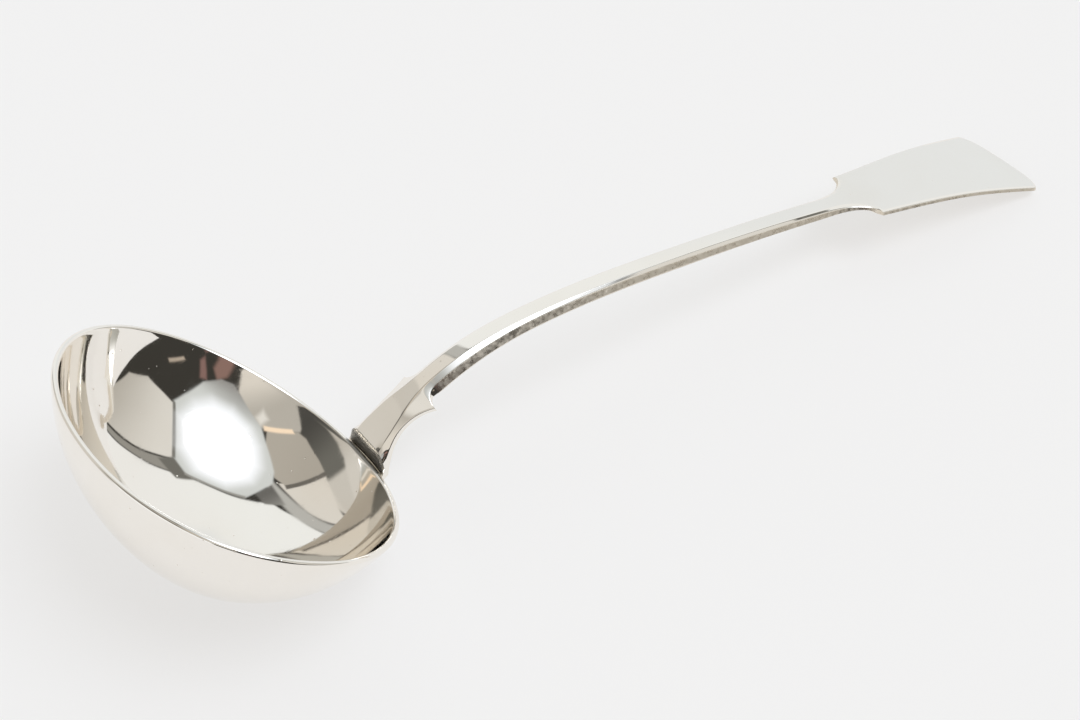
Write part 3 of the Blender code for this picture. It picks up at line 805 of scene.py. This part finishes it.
# Studio: a plan of the sky in degrees from overhead, x towards the handle's end and y to its far side.
# Each panel has its outline in the plan, anticlockwise, and the colours that silver shows of it.
EDGE_BLUR = 0.7
SOFTBOX_LEVEL = 4.6
SOFTBOX_CREASES = (
    ((0, 7), (8, -4)), ((-10, -11), (0, -16)), ((-15.5, -38), (-3, -36)), ((-6, -58), (4, -47)),
    ((16, -55.5), (14, -46)), ((30, -51), (26, -40)), ((43, -25), (34, -25)), ((32, 0), (27, -6)),
)
CREASE_HALF = 0.9
CREASE_BLUR = 0.4
SWEEP_WHITE = (0.9, 0.9, 0.9)
SWEEP_START = 79.0
SWEEP_BLUR = 3.0
SWEEP_SIDE_BLUR = 8.0


def light(colour, level=1.0):
    """Light of a colour as a screen writes it, in hundredths, seen in silver."""
    plain = [max(0.0, part / 100.0) for part in colour]
    linear = [part / 12.92 if part < 0.04045 else ((part + 0.055) / 1.055) ** 2.4 for part in plain]
    return opaque([level * part / tint for part, tint in zip(linear, SILVER)])


def sky_plan(tree):
    """Place of a direction in the plan, with 1 as its third number, and how far it is from overhead."""
    direction = node(tree, "ShaderNodeTexCoord")["Generated"]
    parts = node(tree, "ShaderNodeSeparateXYZ", (direction,))
    from_top = calculate(tree, "DEGREES", calculate(tree, "ARCCOSINE", parts["Z"]))
    level = node(tree, "ShaderNodeCombineXYZ", (parts["X"], parts["Y"], 0.0))[0]
    toward = node(tree, "ShaderNodeVectorMath", (level,), operation="NORMALIZE")["Vector"]
    flat = node(tree, "ShaderNodeVectorMath", (toward, None, None, from_top), operation="SCALE")["Vector"]
    plan = node(tree, "ShaderNodeVectorMath", (flat, (0.0, 0.0, 1.0)), operation="ADD")["Vector"]
    return plan, from_top


def line_distance(tree, plan, start, end):
    """Degrees to the left of a line in the plan."""
    run = Vector(end) - Vector(start)
    left = Vector((-run.y, run.x)).normalized()
    line = (left.x, left.y, -left.dot(Vector(start)))
    return node(tree, "ShaderNodeVectorMath", (plan, line), operation="DOT_PRODUCT")["Value"]


def shaded(tree, plan, start, end, first, last):
    """Colour that goes from the first to the last between two places in the plan."""
    run = Vector(end) - Vector(start)
    scale = 1.0 / run.dot(run)
    line = (run.x * scale, run.y * scale, -run.dot(Vector(start)) * scale)
    share = node(tree, "ShaderNodeVectorMath", (plan, line), operation="DOT_PRODUCT")["Value"]
    return blend(tree, fade(tree, share, 0.0, 1.0), first, last)


def panel(tree, plan, below, outline, colour, blur=EDGE_BLUR):
    """Hangs a panel in front of what is below it."""
    inside = None
    for start, end in zip(outline, outline[1:] + outline[:1]):
        edge = line_distance(tree, plan, start, end)
        inside = edge if inside is None else calculate(tree, "MINIMUM", inside, edge)
    return blend(tree, fade(tree, inside, -blur, blur), below, colour)


def studio():
    """Room of the table: a big softbox overhead, a white wall behind, cream flats and the dark between."""
    world = bpy.data.worlds.new("studio")
    world.use_nodes = True
    tree = world.node_tree
    plan, from_top = sky_plan(tree)
    sky = light((23, 22, 20))

    def graded(start, end, first, last):
        return shaded(tree, plan, start, end, light(first), light(last))

    def hang(colour, outline, blur=EDGE_BLUR):
        nonlocal sky
        sky = panel(tree, plan, sky, outline, colour, blur)

    # Far left: a tan corner with a dark flat in front of it, a white window wall and a tan wall low in front
    hang(graded((-48, 15), (-38, 45), (73, 70, 65), (81, 78.5, 74)),
         [(-100, -30), (-45, -30), (-20, 30), (-4, 100), (-100, 100)])
    hang(light((98, 97, 95)), [(-56, 31), (-100, 31), (-100, -70), (-56, -45)], 2.5)
    hang(graded((-44, -10), (-38, 25), (29, 28, 26), (42, 41, 38)),
         [(-47, -26), (-40, -22), (-30, -8), (-24, 20), (-24, 31), (-40, 31), (-46, 18), (-48, 5)], 1.0)
    hang(graded((-32, 32), (-30, 37), (42, 41, 38), (78, 75.5, 71)),
         [(-41, 29), (-25, 29), (-11, 72), (-15, 72)], 1.0)
    hang(graded((-27, -30), (-33, -48), (71, 68.5, 64), (86, 83, 78)),
         [(-33, -8), (-35, -9), (-47, -26), (-54, -40), (-32, -62), (-15, -47), (-13, -28), (-17, -22)], 1.0)
    hang(light((88, 86, 82)), [(-23, -33), (-16, -32), (-15, -26.5), (-22, -27)], 2.0)

    # White wall behind, greyer low on the right, the grey post beside it, the cream flat and a dark wedge
    hang(graded((20, 20), (75, 5), (92.5, 92, 89.5), (92, 91, 88.5)),
         [(4, 100), (3, 40), (8, 20), (45, -8), (100, -9.5), (100, 100)])
    hang(light((89, 89, 87.5)), [(50, 32), (100, 30), (80, 80), (42, 70)], 7.0)
    hang(light((71, 70, 67)), [(-3.5, 100), (-3, 40), (-1, 6), (4, 6), (4, 36), (2, 100)], 1.2)
    hang(graded((-22, 35), (-3, 40), (85, 82, 77), (85, 82.5, 78)),
         [(-26, 28), (-1.5, 8), (-3, 40), (-3.5, 83)])
    hang(graded((6, 10), (6, 38), (41, 40, 38), (67, 66, 63)),
         [(1, 7.5), (22, 9.5), (12, 18), (8.5, 40), (3.5, 40), (2, 20)], 1.0)

    # Taupe flat on the left with the dark slit over it and a warm lamp tube under it
    hang(light((42, 40, 37)), [(-27, 28.5), (-27.5, 25), (-5, 12), (-4, 16)])
    hang(graded((-28, 20), (-10, -8), (67, 64, 59), (69, 66, 61)),
         [(-28, 25), (-30, 15), (-34, 0), (-32, -9), (-17, -22), (-9, -14), (-3, 4), (-5, 12.5)])
    hang(light((98, 88, 76)), [(-29.5, -10), (-30, -13), (-17, -25.5), (-15.5, -23)])

    # Cream wall low on the right, with the dark gap over it
    hang(graded((46, -24), (82, -52), (85.5, 83.5, 79.5), (69, 66.5, 62)),
         [(47, -17), (31, -50), (43, -63.5), (60, -62), (80, -45), (100, -17)])
    hang(light((58, 56.5, 53)), [(46, -16), (100, -14.5), (100, -11), (46, -8.5)])
    hang(light((44, 43, 40)), [(42, -5.5), (46, -18), (56, -14.5), (51, -5)], 1.0)

    # Dark front of the room, paler under the softbox, with what little shows in it
    hang(graded((0, -57), (10, -72), (45, 44, 41), (23, 22, 20)),
         [(-26, -50), (32, -48), (44, -72), (-10, -84)], 2.0)
    hang(light((54, 43, 39)), [(-22, -60), (-20, -69), (-9, -64), (-7, -58), (-14, -57)], 1.5)
    hang(light((52, 41, 38)), [(-7, -71), (-2, -70), (4, -62), (0, -60), (-3, -64)], 1.2)
    hang(light((70, 64, 57)), [(9, -74), (22, -74), (22, -72), (9, -72)])

    # Softbox: grey inner walls with their creases and edges, and its bright cloth
    hang(graded((-14, -56), (4, -44), (58, 57, 55), (81, 81.5, 79.5)),
         [(0, 7), (-5, 1), (-10, -11), (-15, -25), (-15.5, -52), (-10, -57.5), (3, -59.5), (30, -51),
          (46, -18), (44, -9), (20, 9)], 0.9)
    for outer, inner in SOFTBOX_CREASES:
        aside = (Vector(inner) - Vector(outer)).orthogonal().normalized() * CREASE_HALF
        crease = [tuple(Vector(outer) - aside), tuple(Vector(outer) + aside), inner]
        hang(light((66, 66, 64)), crease, CREASE_BLUR)
    hang(light((46, 45, 42)), [(30, -51.5), (46.6, -18), (45.2, -17.4), (29, -50)], 0.5)
    hang(light((60, 59, 56)), [(20, 9.6), (19.6, 8), (44, -9.8), (45, -8.6)], 0.5)
    hang(light((100, 100.5, 101)),
         [(10, 0.5), (0, -5), (-7, -17), (-9, -28), (-6, -41), (3, -49), (16, -49.5), (31, -42.5),
          (40, -25), (39, -11), (26, -1)], 5.0)
    hang(light((100, 100.5, 101), SOFTBOX_LEVEL),
         [(10, -8), (4, -12), (0, -20), (-1, -29), (2, -38), (9, -42), (17, -42), (27, -37), (33, -26),
          (32, -14), (24, -8)], 4.0)

    # The white of the table goes on into a white sweep behind and on the left
    low = fade(tree, from_top, SWEEP_START - SWEEP_BLUR, SWEEP_START + SWEEP_BLUR)
    behind = line_distance(tree, plan, (0, -30), (1, -30))
    behind = fade(tree, behind, -SWEEP_SIDE_BLUR, SWEEP_SIDE_BLUR)
    aside = line_distance(tree, plan, (55, 0), (55, 1))
    aside = fade(tree, aside, -SWEEP_SIDE_BLUR, SWEEP_SIDE_BLUR)
    sweep = calculate(tree, "MULTIPLY", calculate(tree, "MULTIPLY", low, behind), aside)
    sky = blend(tree, sweep, sky, opaque(SWEEP_WHITE))
    tree.links.new(sky, tree.nodes["Background"].inputs["Color"])
    bpy.context.scene.world = world


place_camera()
table()
studio()
bpy.context.scene.view_settings.view_transform = "Standard"
